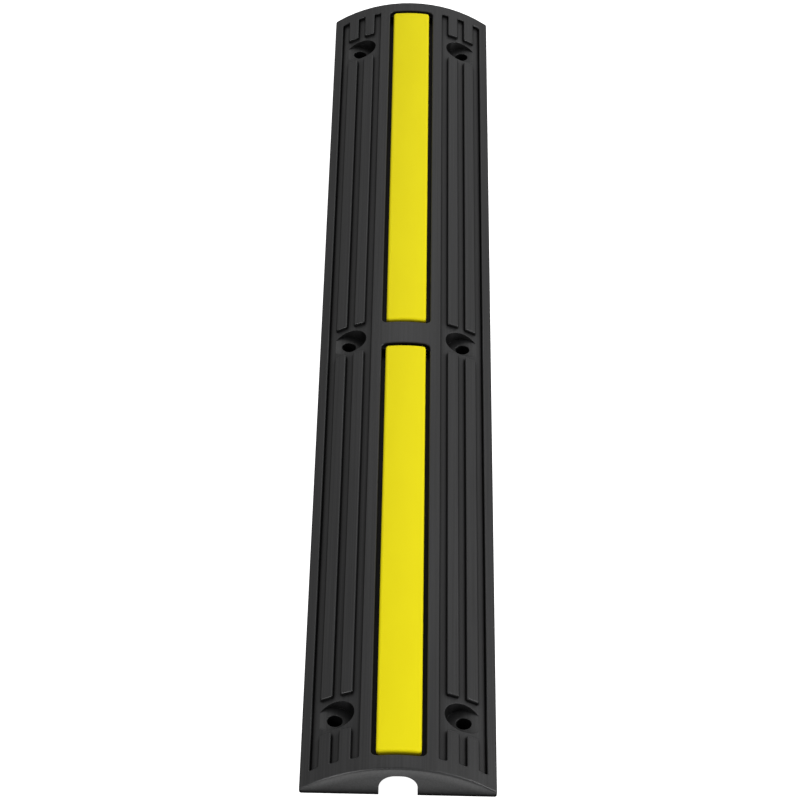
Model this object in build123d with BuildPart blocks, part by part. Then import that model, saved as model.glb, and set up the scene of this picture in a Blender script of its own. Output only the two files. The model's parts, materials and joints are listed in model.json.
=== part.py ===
from build123d import *
import os
from math import sqrt

# Cable protector ramp: one arched rubber moulding that straddles a cable lying on the
# floor, with two yellow marker strips let into its crown.
#
# Frame: the origin is on the floor at the centre of the footprint. X runs across the
# ramp, Y runs along it and Z is up. Every size is in millimetres.

# ---------------------------------------------------------------- driving dimensions
# Rubber body
LENGTH = 1000.0
WIDTH = 145.0
CROWN_HEIGHT = 28.0  # top of the arch above the floor
LIP_HEIGHT = 4.0  # upright edge along both long sides
PLAN_CORNER_RADIUS = 2.0
OUTER_EDGE_RADIUS = 1.8

# Cable channel, open to the floor along the whole length
CHANNEL_WIDTH = 28.5
CHANNEL_HEIGHT = 19.7
CHANNEL_ROOF_RADIUS = 12.0

# Tread grooves, the same on both slopes
GROOVE_COUNT = 3
GROOVE_INNER_WALL = 29.4  # distance of the first groove's inner wall from the centre
GROOVE_WIDTH = 5.8
GROOVE_PITCH = 14.9
GROOVE_DEPTH = 2.8
GROOVE_END_MARGIN = 14.0  # plain band left at each end of the body
GROOVE_CORNER_RADIUS = 1.2
RIM_RADIUS = 1.0  # rounding where grooves and pockets meet the surface

# Bolt holes: two columns of three, each in a pad at groove depth that breaks the bars
HOLE_COLUMN_X = 48.0
HOLE_ROWS_Y = (-436.0, 0.0, 436.0)
BORE_DIAMETER = 11.5
BORE_RIM_RADIUS = 0.6
COUNTERBORE_DIAMETER = 27.5
COUNTERBORE_FLOOR = 9.3  # height of the bolt seat above the floor
COUNTERBORE_DRAFT = 4.0  # degrees
BOLT_PAD_LENGTH = 37.0

# Marker strips and the pockets that they lie in. A gap runs all round each strip, and
# along its two long sides the gap goes on down as a trench beside the cable channel.
STRIP_WIDTH = 33.6
STRIP_LENGTH = 465.0
STRIP_CENTRE_Y = 249.8
STRIP_CORNER_RADIUS = 3.0
STRIP_EDGE_RADIUS = 2.0
STRIP_PROUD = 0.2  # strip crown above the rubber crown
POCKET_GAP = 3.5
POCKET_CORNER_RADIUS = 5.0
POCKET_FLOOR = 22.7  # height above the floor
TRENCH_FLOOR = 17.5

# Pegs moulded under each strip, seated in blind sockets in the pocket floor. They stand
# in pairs over the shoulders of the channel, where the rubber is thickest.
PEG_DIAMETER = 5.0
PEG_LENGTH = 2.5
PEG_ROWS = 5
PEG_SPACING = 24.0
PEG_PITCH = 105.0
SOCKET_CLEARANCE = 0.1
SOCKET_DEPTH = 2.8

# ------------------------------------------------------------------- derived values
HALF_WIDTH = WIDTH / 2
HALF_LENGTH = LENGTH / 2
ARCH_RISE = CROWN_HEIGHT - LIP_HEIGHT
ARCH_RADIUS = (HALF_WIDTH**2 + ARCH_RISE**2) / (2 * ARCH_RISE)
ARCH_CENTRE_Z = CROWN_HEIGHT - ARCH_RADIUS
CLEAR_HEIGHT = CROWN_HEIGHT + 10.0  # a height safely above the crown, for cutters
POCKET_WIDTH = STRIP_WIDTH + 2 * POCKET_GAP
POCKET_LENGTH = STRIP_LENGTH + 2 * POCKET_GAP
POCKET_OUTER_Y = STRIP_CENTRE_Y + POCKET_LENGTH / 2
STRIP_CENTRES = [(0, side * STRIP_CENTRE_Y) for side in (-1, 1)]
TRENCH_SPACING = STRIP_WIDTH + POCKET_GAP
GROOVE_LENGTH = LENGTH - 2 * GROOVE_END_MARGIN
TREAD_WIDTH = (GROOVE_COUNT - 1) * GROOVE_PITCH + GROOVE_WIDTH
TREAD_CENTRE_X = GROOVE_INNER_WALL + TREAD_WIDTH / 2
TREAD_OUTER_X = GROOVE_INNER_WALL + TREAD_WIDTH
HOLE_CENTRES = [(side * HOLE_COLUMN_X, y) for side in (-1, 1) for y in HOLE_ROWS_Y]
TOLERANCE = 0.01

os.makedirs("parts", exist_ok=True)


def is_surface_rim(edge):
    """True for an edge that lies on the arch, away from the body's own outline."""
    samples = [edge.position_at(t) for t in (0.0, 0.3, 0.5, 1.0)]
    radii = [sqrt(p.X**2 + (p.Z - ARCH_CENTRE_Z) ** 2) for p in samples]
    lies_on_arch = all(abs(radius - ARCH_RADIUS) < TOLERANCE for radius in radii)
    inside_x = all(abs(p.X) < TREAD_OUTER_X + TOLERANCE for p in samples)
    inside_y = all(abs(p.Y) < POCKET_OUTER_Y + TOLERANCE for p in samples)
    return lies_on_arch and inside_x and inside_y


def is_bore_rim(edge):
    """True for the circle where a bolt bore meets its seat."""
    lies_on_seat = abs(edge.center().Z - COUNTERBORE_FLOOR) < TOLERANCE
    return lies_on_seat and edge.geom_type == GeomType.CIRCLE and edge.radius < BORE_DIAMETER


# --------------------------------------------------------------- tread groove cutter
# The plan of every groove and bolt pad, with its underside hollowed by an arch that lies
# one groove depth below the ramp's surface, so that each floor follows the slope.
with BuildPart() as tread_cutter:
    with BuildSketch() as tread_plan:
        for side in (-1, 1):
            for i in range(GROOVE_COUNT):
                groove_x = GROOVE_INNER_WALL + GROOVE_WIDTH / 2 + i * GROOVE_PITCH
                with Locations((side * groove_x, 0)):
                    Rectangle(GROOVE_WIDTH, GROOVE_LENGTH)
            with Locations([(side * TREAD_CENTRE_X, y) for y in HOLE_ROWS_Y]):
                Rectangle(TREAD_WIDTH, BOLT_PAD_LENGTH)
        fillet(tread_plan.vertices(), GROOVE_CORNER_RADIUS)
    extrude(amount=CLEAR_HEIGHT)
    with BuildSketch(Plane.XZ):
        with Locations((0, ARCH_CENTRE_Z)):
            Circle(ARCH_RADIUS - GROOVE_DEPTH)
    extrude(amount=HALF_LENGTH, both=True, mode=Mode.SUBTRACT)

# ------------------------------------------------------------------------ ramp body
with BuildPart() as ramp_body:
    # Arched slab with its outer edges softened
    with BuildSketch(Plane.XZ):
        with BuildLine():
            Polyline(
                (-HALF_WIDTH, LIP_HEIGHT), (-HALF_WIDTH, 0), (HALF_WIDTH, 0), (HALF_WIDTH, LIP_HEIGHT)
            )
            ThreePointArc((HALF_WIDTH, LIP_HEIGHT), (0, CROWN_HEIGHT), (-HALF_WIDTH, LIP_HEIGHT))
        make_face()
    extrude(amount=HALF_LENGTH, both=True)
    fillet(ramp_body.edges().filter_by(Axis.Z), PLAN_CORNER_RADIUS)
    fillet(ramp_body.faces().sort_by(Axis.Z)[-1].edges(), OUTER_EDGE_RADIUS)

    # Pockets for the marker strips, cut down to a level floor
    with BuildSketch(Plane.XY.offset(POCKET_FLOOR)):
        with Locations(STRIP_CENTRES):
            RectangleRounded(POCKET_WIDTH, POCKET_LENGTH, POCKET_CORNER_RADIUS)
    extrude(amount=CLEAR_HEIGHT - POCKET_FLOOR, mode=Mode.SUBTRACT)

    # Tread grooves and bolt pads
    add(tread_cutter.part, mode=Mode.SUBTRACT)

    # Rounded rims round the pockets, the grooves and the ends of the bars
    rims = ramp_body.edges().filter_by(is_surface_rim)
    fillet(rims, RIM_RADIUS)

    # Trenches along the two long sides of each pocket
    with BuildSketch(Plane.XY.offset(TRENCH_FLOOR)):
        with Locations(STRIP_CENTRES):
            with GridLocations(TRENCH_SPACING, 0, 2, 1):
                SlotOverall(STRIP_LENGTH, POCKET_GAP, rotation=90)
    extrude(amount=POCKET_FLOOR - TRENCH_FLOOR, mode=Mode.SUBTRACT)

    # Bolt seats and through bores
    with BuildSketch(Plane.XY.offset(COUNTERBORE_FLOOR)):
        with Locations(HOLE_CENTRES):
            Circle(COUNTERBORE_DIAMETER / 2)
    extrude(amount=CLEAR_HEIGHT - COUNTERBORE_FLOOR, taper=-COUNTERBORE_DRAFT, mode=Mode.SUBTRACT)
    with Locations(HOLE_CENTRES):
        Hole(BORE_DIAMETER / 2)
    fillet(ramp_body.edges().filter_by(is_bore_rim), BORE_RIM_RADIUS)

    # Cable channel with a rounded roof
    with BuildSketch(Plane.XZ) as channel_section:
        with Locations((0, CHANNEL_HEIGHT / 2)):
            Rectangle(CHANNEL_WIDTH, CHANNEL_HEIGHT)
        fillet(channel_section.vertices().group_by(Axis.Y)[-1], CHANNEL_ROOF_RADIUS)
    extrude(amount=HALF_LENGTH, both=True, mode=Mode.SUBTRACT)

    # Blind sockets for the strips' pegs
    with BuildSketch(Plane.XY.offset(POCKET_FLOOR)):
        with Locations(STRIP_CENTRES):
            with GridLocations(PEG_SPACING, PEG_PITCH, 2, PEG_ROWS):
                Circle(PEG_DIAMETER / 2 + SOCKET_CLEARANCE)
    extrude(amount=-SOCKET_DEPTH, mode=Mode.SUBTRACT)

ramp_body.part.label = "ramp_body"
export_step(ramp_body.part, "parts/ramp_body.step")


# -------------------------------------------------------------------- marker strips
def make_marker_strip(name, centre):
    """A yellow strip that follows the crown, with pairs of pegs under it."""
    with BuildPart() as strip:
        with BuildSketch(Plane.XY.offset(POCKET_FLOOR)):
            with Locations(centre):
                RectangleRounded(STRIP_WIDTH, STRIP_LENGTH, STRIP_CORNER_RADIUS)
        extrude(amount=CLEAR_HEIGHT - POCKET_FLOOR)
        with BuildSketch(Plane.XZ):
            with Locations((0, ARCH_CENTRE_Z)):
                Circle(ARCH_RADIUS + STRIP_PROUD)
        extrude(amount=HALF_LENGTH, both=True, mode=Mode.INTERSECT)
        fillet(strip.faces().sort_by(Axis.Z)[-1].edges(), STRIP_EDGE_RADIUS)
        with BuildSketch(Plane.XY.offset(POCKET_FLOOR)):
            with Locations(centre):
                with GridLocations(PEG_SPACING, PEG_PITCH, 2, PEG_ROWS):
                    Circle(PEG_DIAMETER / 2)
        extrude(amount=-PEG_LENGTH)
    strip.part.label = name
    export_step(strip.part, f"parts/{name}.step")
    return strip


near_marker_strip = make_marker_strip("near_marker_strip", STRIP_CENTRES[0])
far_marker_strip = make_marker_strip("far_marker_strip", STRIP_CENTRES[1])
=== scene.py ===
import json
from math import cos, radians, sin

import bpy
from mathutils import Matrix, Vector


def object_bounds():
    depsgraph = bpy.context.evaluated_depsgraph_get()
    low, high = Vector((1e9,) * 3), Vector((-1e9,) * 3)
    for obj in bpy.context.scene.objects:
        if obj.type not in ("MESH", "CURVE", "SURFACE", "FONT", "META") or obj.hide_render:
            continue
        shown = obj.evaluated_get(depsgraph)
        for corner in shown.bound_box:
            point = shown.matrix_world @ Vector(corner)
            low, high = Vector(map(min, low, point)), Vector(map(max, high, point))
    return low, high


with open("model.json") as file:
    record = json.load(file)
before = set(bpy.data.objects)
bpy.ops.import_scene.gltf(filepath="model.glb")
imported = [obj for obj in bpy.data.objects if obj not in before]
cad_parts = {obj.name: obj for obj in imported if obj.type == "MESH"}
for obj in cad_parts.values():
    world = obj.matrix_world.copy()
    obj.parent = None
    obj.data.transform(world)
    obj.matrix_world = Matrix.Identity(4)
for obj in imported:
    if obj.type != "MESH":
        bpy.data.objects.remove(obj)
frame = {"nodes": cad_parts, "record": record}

# Cable protector ramp in a plain studio. Metres, in the CAD frame: the origin is on the
# floor under the middle of the ramp, X runs across it, Y along it and Z is up.

CAD_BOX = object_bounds()
MM = 0.001

# Camera: the eye's place, its heading, how far it looks down, its roll and its lens
EYE = Vector((-0.0095, -2.0887, 1.7414))
HEADING = radians(-0.156)
PITCH_DOWN = radians(40.59)
ROLL = radians(-1.33)
LENS_MM = 143.96
SENSOR_MM = 36.0
CLIP_START = 0.05
CLIP_END = 100.0

# The tread grooves lie inside this distance from the ramp's centre line
TREAD_EDGE_X = 65.5 * MM
# The circle that the top surface follows: its radius and the height of its centre
ARCH_RADIUS = 121.5 * MM
ARCH_CENTRE_Z = -93.5 * MM

# How far the rubber's painted shade looks around each point: for recesses, and for creases in them
RECESS_REACH = 14 * MM
CREASE_REACH = 1.5 * MM
# Painted shade in a bolt well starts at the first depth below the arch, and is darkest at the
# second
WELL_TOP = 3.5 * MM
WELL_BOTTOM = 9 * MM
# Radius at which the rubber's sharp edges look rounded
EDGE_RADIUS = 0.5 * MM
# Rays that each point sends out to find its recesses, and to find the edges near it
OPENNESS_RAYS = 12
EDGE_RAYS = 6
# Reach of the painted shade on the sides of the yellow strips
STRIP_SHADE_REACH = 5 * MM

# Floor, a hair below the ramp: it is cut out under it, but reaches into the channel's mouths
FLOOR_SIZE = 60.0
FLOOR_Z = -0.3 * MM
FLOOR_GLOW = 1.0
CUT_OUT_INSET = 4 * MM
MOUTH_REACH_X = 15 * MM
MOUTH_REACH_Y = 60 * MM

# Bounce card on the floor in front of the near end
CARD_WIDTH = 0.5
CARD_LENGTH = 0.6
CARD_GAP = 3 * MM
CARD_Z = -0.25 * MM
CARD_GLOW = 0.85

# Dark discs on the floor, one under each bolt bore: painted shade that shows through each empty
# bore
BORE_SHADE_DISC_RADIUS = 7.5 * MM
BORE_SHADE_DISC_Z = -0.2 * MM
BORE_SHADE_DISC_SIDES = 48

# World: the sky's and the ground's strength, how steeply the dark climbs in front, and half
# the height of the blend between them
SKY = 0.385
GROUND = 0.04
FRONT_CLIMB = 0.4
HORIZON_BLUR = 0.05

# Soft lights that face the ramp's centre: name, place, width and height, power in watts
SOFTBOXES = [
    ("right_low", (2.2, 0, 1.0), (0.7, 1.8), 24),
    ("right_back", (1.6, 3.9, 1.75), (1.6, 1.2), 2.5),
    ("front_low", (-1.3, -2.2, 1.2), (0.8, 0.4), 12),
    ("right_high", (1.7, 0, 1.8), (0.7, 1.8), 13),
    ("left_front", (-1.0, -1.3, 1.45), (1.0, 0.4), 5),
    ("back", (0, 1.8, 1.8), (1.2, 0.7), 3.5),
]
UNDERSIDE_SOFTBOX = ("underside", (0, 0, -1.2), (0.8, 1.6), 25)

scene = bpy.context.scene


# ---------------------------------------------------------------- node helpers
class Nodes:
    """A short way to write a material's node tree.

    Wherever a value is asked for, it can be a number or another node's output.
    """

    def __init__(self, name):
        self.material = bpy.data.materials.new(name)
        self.material.use_nodes = True
        self.tree = self.material.node_tree
        self.tree.nodes.clear()
        self.coordinates = self.add("ShaderNodeTexCoord").outputs["Object"]

    def feed(self, socket, value):
        """Links another node's output to an input, or sets the input to a plain value."""
        if isinstance(value, bpy.types.NodeSocket):
            self.tree.links.new(value, socket)
        else:
            socket.default_value = value

    def add(self, kind, **inputs):
        """A new node; each keyword feeds the input of that name."""
        node = self.tree.nodes.new(kind)
        for key, value in inputs.items():
            self.feed(node.inputs[key.replace("_", " ")], value)
        return node

    def noise(self, stretch, detail=3.0):
        """Noise over the object, in cycles per metre along X, Y and Z."""
        scaled = self.add("ShaderNodeMapping", Vector=self.coordinates, Scale=stretch)
        node = self.add(
            "ShaderNodeTexNoise", Vector=scaled.outputs[0], Scale=1.0, Detail=detail, Roughness=0.5
        )
        return node.outputs["Fac"]

    def ramp(self, value, low, high, to_low, to_high):
        """The value carried from low..high to to_low..to_high, held at both ends."""
        span = {"From_Min": low, "From_Max": high, "To_Min": to_low, "To_Max": to_high}
        return self.add("ShaderNodeMapRange", Value=value, **span).outputs[0]

    def mix_colour(self, factor, first, second):
        """The first colour at factor 0, the second at factor 1."""
        node = self.tree.nodes.new("ShaderNodeMix")
        node.data_type = "RGBA"
        # The node has one set of sockets for each data type; these are the colour's
        for index, value in ((0, factor), (6, first), (7, second)):
            self.feed(node.inputs[index], value)
        return node.outputs[2]

    def math(self, operation, *values):
        node = self.tree.nodes.new("ShaderNodeMath")
        node.operation = operation
        for index, value in enumerate(values):
            self.feed(node.inputs[index], value)
        return node.outputs[0]

    def product(self, first, *others):
        for other in others:
            first = self.math("MULTIPLY", first, other)
        return first

    def vector_math(self, operation, *vectors):
        node = self.tree.nodes.new("ShaderNodeVectorMath")
        node.operation = operation
        for index, vector in enumerate(vectors):
            self.feed(node.inputs[index], vector)
        return node.outputs

    def split(self, vector):
        """The X, Y and Z of a vector."""
        return self.add("ShaderNodeSeparateXYZ", Vector=vector).outputs[:]

    def unit(self, vector):
        return self.vector_math("NORMALIZE", vector)["Vector"]

    def length(self, vector):
        return self.vector_math("LENGTH", vector)["Value"]

    def dot(self, first, second):
        return self.vector_math("DOT_PRODUCT", first, second)["Value"]

    def bump(self, height, strength, distance, normal=None):
        node = self.add("ShaderNodeBump", Height=height, Strength=strength, Distance=distance)
        if normal is not None:
            self.feed(node.inputs["Normal"], normal)
        return node.outputs[0]

    def openness(self, distance):
        """1 on an open surface, falling to 0 deep in a recess."""
        node = self.add("ShaderNodeAmbientOcclusion", Distance=distance)
        node.samples = OPENNESS_RAYS
        return node.outputs["AO"]

    def soft_edges(self, radius):
        """Normals that run smoothly round every sharp edge."""
        node = self.add("ShaderNodeBevel", Radius=radius)
        node.samples = EDGE_RAYS
        return node.outputs[0]

    def finish(self, shader):
        self.add("ShaderNodeOutputMaterial", Surface=shader.outputs[0])
        return self.material


def grey(level):
    """A grey with a trace of blue."""
    return (level, level, level * 1.03, 1)


# ------------------------------------------------------------------- materials
def make_rubber():
    """Satin black rubber: fine grain, faint lengthwise tool marks, painted shade in recesses,
    painted highlights on rims and edges.
    """
    n = Nodes("moulded_black_rubber")
    mottle = n.noise((26, 11, 26), detail=4.0)
    streaks = n.noise((900, 5, 900), detail=2.0)
    grain = n.noise((2400, 2400, 2400), detail=2.0)
    x, _, z = n.split(n.coordinates)
    facing = n.add("ShaderNodeNewGeometry").outputs["Normal"]
    facing_x, _, facing_z = n.split(facing)
    outward = n.product(facing_x, n.math("SIGN", x))
    from_axis = n.math("SUBTRACT", z, ARCH_CENTRE_Z)
    out_of_arch = n.add("ShaderNodeCombineXYZ", X=x, Z=from_axis).outputs[0]

    # Painted shade: 1 on the open slopes, less in grooves, creases and bolt wells, and least on
    # the tread's walls that face outward. The base colour darkens and the sheen dims with it.
    recess = n.ramp(n.openness(RECESS_REACH), 0.34, 1.0, 0.0, 1.0)
    nearby = n.openness(CREASE_REACH)
    crease = n.ramp(nearby, 0.5, 1.0, 0.25, 1.0)
    depth = n.math("SUBTRACT", ARCH_RADIUS, n.length(out_of_arch))
    well = n.ramp(depth, WELL_TOP, WELL_BOTTOM, 1.0, 0.55)
    in_tread = n.math("LESS_THAN", n.math("ABSOLUTE", x), TREAD_EDGE_X)
    wall = n.product(n.ramp(outward, 0.60, 0.80, 0.0, 0.85), in_tread)
    open_air = n.product(recess, crease, well, n.math("SUBTRACT", 1.0, wall))

    # Rims: wherever the surface turns away from the smooth arch, but is neither a wall nor
    # a level bolt seat. They get a painted highlight in the base colour, and a lower roughness.
    flatness = n.dot(facing, n.unit(out_of_arch))
    rim = n.product(
        n.ramp(flatness, 0.84, 0.96, 1.0, 0.0),
        n.ramp(flatness, 0.2, 0.5, 0.0, 1.0),
        n.ramp(outward, 0.55, 0.65, 1.0, 0.0),
        n.ramp(facing_z, 0.998, 0.9998, 1.0, 0.0),
    )

    # Painted highlight: sharp edges that stand proud are painted lighter
    rounded = n.soft_edges(EDGE_RADIUS)
    edge = n.ramp(n.dot(facing, rounded), 0.85, 0.98, 1.0, 0.0)
    painted_edge_highlight = n.product(edge, n.ramp(nearby, 0.8, 0.98, 0.0, 0.8))

    base = n.mix_colour(n.ramp(mottle, 0.3, 0.7, 0.0, 1.0), grey(0.016), grey(0.021))
    base = n.mix_colour(n.ramp(streaks, 0.35, 0.65, 0.0, 1.0), base, grey(0.024))
    # Painted highlight: rims lighter
    base = n.mix_colour(n.product(rim, 0.6), base, grey(0.040))
    # Painted shade: recesses, creases, bolt wells and outward tread walls go near-black
    base = n.mix_colour(open_air, grey(0.004), base)
    # Painted highlight on the proud sharp edges
    base = n.mix_colour(painted_edge_highlight, base, grey(0.060))
    # The sheen dims with the same painted shade
    open_sheen = n.ramp(open_air, 0.0, 1.0, 0.10, 0.5)
    matt = n.ramp(mottle, 0.3, 0.7, 0.38, 0.46)
    normal = n.bump(streaks, 0.10, 0.2 * MM, rounded)
    bsdf = n.add(
        "ShaderNodeBsdfPrincipled",
        Base_Color=base,
        Roughness=n.math("SUBTRACT", matt, n.product(rim, 0.12)),
        Specular_IOR_Level=n.product(open_sheen, n.ramp(streaks, 0.3, 0.7, 0.92, 1.08)),
        Normal=n.bump(grain, 0.22, 0.1 * MM, normal),
    )
    return n.finish(bsdf)


def make_yellow():
    """Smooth soft yellow plastic with a slow waviness, a trace of scuffing and painted shade on
    its sides.
    """
    n = Nodes("yellow_marker")
    slow = n.noise((40, 14, 40), detail=2.0)
    fine = n.noise((1100, 500, 1100), detail=3.0)
    deep = (0.94, 0.81, 0.002, 1)
    light = (0.96, 0.835, 0.003, 1)
    scuffed = (0.90, 0.75, 0.002, 1)
    shaded = (0.12, 0.08, 0.002, 1)
    base = n.mix_colour(n.ramp(slow, 0.3, 0.7, 0.0, 1.0), deep, light)
    base = n.mix_colour(n.ramp(fine, 0.62, 0.8, 0.0, 0.25), base, scuffed)
    # Painted shade: the strip's sides, where its openness falls, take the dark shaded colour
    side = n.ramp(n.openness(STRIP_SHADE_REACH), 0.15, 0.95, 0.0, 1.0)
    base = n.mix_colour(side, shaded, base)
    normal = n.bump(slow, 0.12, 0.5 * MM)
    bsdf = n.add(
        "ShaderNodeBsdfPrincipled",
        Base_Color=base,
        Roughness=n.ramp(fine, 0.3, 0.7, 0.40, 0.48),
        Specular_IOR_Level=0.12,
        Normal=n.bump(fine, 0.05, 0.1 * MM, normal),
    )
    return n.finish(bsdf)


# ---------------------------------------------------------------- staged things
def make_white_sheet(name, rectangles, height, glow):
    """A level white sheet, bright enough that no shadow shows on it."""
    corners = []
    for x0, y0, x1, y1 in rectangles:
        corners += [(x0, y0, height), (x1, y0, height), (x1, y1, height), (x0, y1, height)]
    faces = [range(i, i + 4) for i in range(0, len(corners), 4)]
    mesh = bpy.data.meshes.new(name)
    mesh.from_pydata(corners, [], faces)
    sheet = bpy.data.objects.new(name, mesh)
    scene.collection.objects.link(sheet)
    n = Nodes(name)
    cloud = n.noise((0.7, 0.7, 0.7))
    bsdf = n.add(
        "ShaderNodeBsdfPrincipled",
        Base_Color=n.mix_colour(cloud, (0.86, 0.86, 0.86, 1), (0.90, 0.90, 0.90, 1)),
        Roughness=0.9,
        Emission_Color=(1, 1, 1, 1),
        Emission_Strength=glow,
    )
    mesh.materials.append(n.finish(bsdf))
    return sheet


def make_floor():
    """The studio floor, and a bounce card in front of the near end that lights that end.

    The floor is cut out under the ramp, so that the underside shows from below, but it
    reaches a little way into both mouths of the channel. Neither its light nor its
    reflection reaches the ramp.
    """
    (low_x, low_y, _), (high_x, high_y, _) = CAD_BOX
    x0, x1 = low_x + CUT_OUT_INSET, high_x - CUT_OUT_INSET
    y0, y1 = low_y + CUT_OUT_INSET, high_y - CUT_OUT_INSET
    far = FLOOR_SIZE / 2
    rectangles = [
        (-far, -far, x0, far),
        (x1, -far, far, far),
        (x0, -far, x1, y0),
        (x0, y1, x1, far),
        (-MOUTH_REACH_X, y0, MOUTH_REACH_X, y0 + MOUTH_REACH_Y),
        (-MOUTH_REACH_X, y1 - MOUTH_REACH_Y, MOUTH_REACH_X, y1),
    ]
    floor = make_white_sheet("studio_floor", rectangles, FLOOR_Z, FLOOR_GLOW)
    floor.visible_diffuse = False
    floor.visible_glossy = False
    card_edge = low_y - CARD_GAP
    card = (-CARD_WIDTH / 2, card_edge - CARD_LENGTH, CARD_WIDTH / 2, card_edge)
    make_white_sheet("bounce_card", [card], CARD_Z, CARD_GLOW)


def bolt_places():
    """Where the six bolt bores meet the floor, from the record's bolt patterns."""
    places = []
    for mount in frame["record"]["mounts"]:
        if mount["kind"] != "bolt_pattern":
            continue
        reach_x = mount["dims"]["spacing_x_mm"] / 2 * MM
        reach_y = mount["dims"].get("spacing_y_mm", 0.0) / 2 * MM
        for x in (-reach_x, reach_x):
            for y in sorted({-reach_y, reach_y}):
                places.append((x, y))
    return places


def make_bore_shade_discs():
    """Dark discs on the floor under the bolt bores: painted shade that shows through each empty
    bore.
    """
    n = Nodes("painted_bore_shade")
    shade_speckle = n.noise((700, 700, 700))
    bsdf = n.add(
        "ShaderNodeBsdfPrincipled",
        Base_Color=n.mix_colour(shade_speckle, grey(0.001), grey(0.004)),
        Roughness=1.0,
        Specular_IOR_Level=0.0,
    )
    material = n.finish(bsdf)
    # Each disc is a dark sheet of painted shade under one bore
    for i, (x, y) in enumerate(bolt_places()):
        bpy.ops.mesh.primitive_circle_add(
            vertices=BORE_SHADE_DISC_SIDES,
            radius=BORE_SHADE_DISC_RADIUS,
            fill_type="NGON",
            location=(x, y, BORE_SHADE_DISC_Z),
        )
        shade_disc = bpy.context.object
        shade_disc.name = f"floor_bore_shade_disc_{i + 1}"
        shade_disc.data.materials.append(material)


# -------------------------------------------------------------- camera and light
def make_camera():
    data = bpy.data.cameras.new("camera")
    data.lens = LENS_MM
    data.sensor_width = SENSOR_MM
    data.clip_start = CLIP_START
    data.clip_end = CLIP_END
    camera = bpy.data.objects.new("camera", data)
    scene.collection.objects.link(camera)
    forward = Vector(
        (-sin(HEADING) * cos(PITCH_DOWN), cos(HEADING) * cos(PITCH_DOWN), -sin(PITCH_DOWN))
    )
    level_right = Vector((cos(HEADING), sin(HEADING), 0.0))
    level_down = forward.cross(level_right)
    right = cos(ROLL) * level_right + sin(ROLL) * level_down
    up = sin(ROLL) * level_right - cos(ROLL) * level_down
    turn = Matrix((right, up, -forward)).transposed()
    camera.matrix_world = Matrix.Translation(EYE) @ turn.to_4x4()
    scene.camera = camera


def make_softbox(name, place, size, power):
    """A rectangular soft light that faces the ramp's centre."""
    data = bpy.data.lights.new(name, "AREA")
    data.shape = "RECTANGLE"
    data.size, data.size_y = size
    data.energy = power
    lamp = bpy.data.objects.new(name, data)
    scene.collection.objects.link(lamp)
    lamp.location = place
    lamp.rotation_euler = (-Vector(place)).to_track_quat("-Z", "Y").to_euler()
    return lamp


def make_underside_light():
    """A soft light under the floor, which reaches only the underside, through the cut-out."""
    lamp = make_softbox(*UNDERSIDE_SOFTBOX)
    # Without this setting, rays that the floor doesn't stop would carry it to the slopes
    lamp.data.cycles.use_multiple_importance_sampling = False


def make_world():
    """A soft sky over dark ground; in front of the near end the dark reaches higher up."""
    world = bpy.data.worlds.new("world")
    scene.world = world
    world.use_nodes = True
    tree = world.node_tree
    direction = tree.nodes.new("ShaderNodeTexCoord")
    split = tree.nodes.new("ShaderNodeSeparateXYZ")
    ahead = tree.nodes.new("ShaderNodeMath")
    ahead.operation = "MINIMUM"
    ahead.inputs[1].default_value = 0.0
    height = tree.nodes.new("ShaderNodeMath")
    height.operation = "MULTIPLY_ADD"
    height.inputs[1].default_value = FRONT_CLIMB
    blend = tree.nodes.new("ShaderNodeMapRange")
    blend.inputs["From Min"].default_value = -HORIZON_BLUR
    blend.inputs["From Max"].default_value = HORIZON_BLUR
    blend.inputs["To Min"].default_value = GROUND
    blend.inputs["To Max"].default_value = SKY
    background = tree.nodes["Background"]
    background.inputs["Color"].default_value = (1, 1, 1, 1)
    tree.links.new(direction.outputs["Generated"], split.inputs[0])
    tree.links.new(split.outputs["Y"], ahead.inputs[0])
    tree.links.new(ahead.outputs[0], height.inputs[0])
    tree.links.new(split.outputs["Z"], height.inputs[2])
    tree.links.new(height.outputs[0], blend.inputs["Value"])
    tree.links.new(blend.outputs[0], background.inputs["Strength"])


make_camera()
make_floor()
make_bore_shade_discs()
rubber = make_rubber()
yellow = make_yellow()
for name, node in frame["nodes"].items():
    node.data.materials[0] = rubber if name == "ramp_body" else yellow

make_world()
for softbox in SOFTBOXES:
    make_softbox(*softbox)
make_underside_light()
scene.view_settings.view_transform = "Standard"
